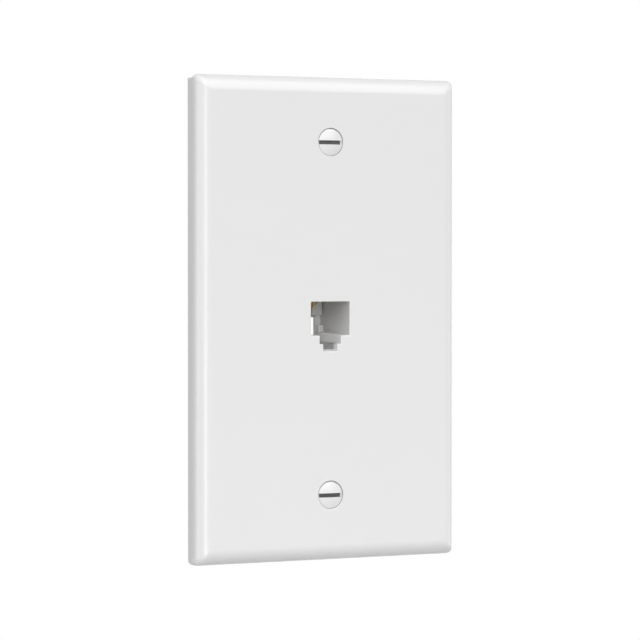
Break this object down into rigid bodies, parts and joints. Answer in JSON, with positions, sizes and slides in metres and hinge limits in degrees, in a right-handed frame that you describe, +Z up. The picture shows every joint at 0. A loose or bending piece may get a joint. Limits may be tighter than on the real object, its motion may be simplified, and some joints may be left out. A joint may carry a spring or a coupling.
{
  "type": "telephone wall socket",
  "caption": "Flush telephone wall socket: a white bevelled wall plate with a moulded modular jack, spring contacts, rear screw terminals and slotted fixing screws.",
  "frame": {"origin": "middle of the plate on the wall plane, midway between the two fixing screws", "axes": "+X to the right seen from the front, +Y into the wall, +Z up; the front faces -Y"},
  "size_m": [0.0698, 0.0235, 0.1142],
  "materials": {
    "white_plastic": "satin gloss moulded",
    "comb_plastic": "fine matt moulded",
    "screw_enamel": "gloss white enamel",
    "gold_plating": "bright gold plating",
    "brass": "stamped and crimped",
    "zinc_plated_steel": "zinc plated",
    "black_insulation": "extruded satin",
    "red_insulation": "extruded satin",
    "green_insulation": "extruded satin",
    "yellow_insulation": "extruded satin"
  },
  "bodies": {
    "root": {"wall_plate": "white_plastic", "contact_carrier": "comb_plastic", "contact_wire_1": "gold_plating", "contact_wire_2": "gold_plating", "contact_wire_3": "gold_plating", "contact_wire_4": "gold_plating", "lead_black": "black_insulation", "lead_red": "red_insulation", "lead_green": "green_insulation", "lead_yellow": "yellow_insulation", "spade_lug_upper_left": "brass", "terminal_washer_upper_left": "zinc_plated_steel", "terminal_screw_upper_left": "zinc_plated_steel", "spade_lug_upper_right": "brass", "terminal_washer_upper_right": "zinc_plated_steel", "terminal_screw_upper_right": "zinc_plated_steel", "spade_lug_lower_left": "brass", "terminal_washer_lower_left": "zinc_plated_steel", "terminal_screw_lower_left": "zinc_plated_steel", "spade_lug_lower_right": "brass", "terminal_washer_lower_right": "zinc_plated_steel", "terminal_screw_lower_right": "zinc_plated_steel", "plate_screw_upper": "screw_enamel", "plate_screw_lower": "screw_enamel"}
  },
  "joints": []
}
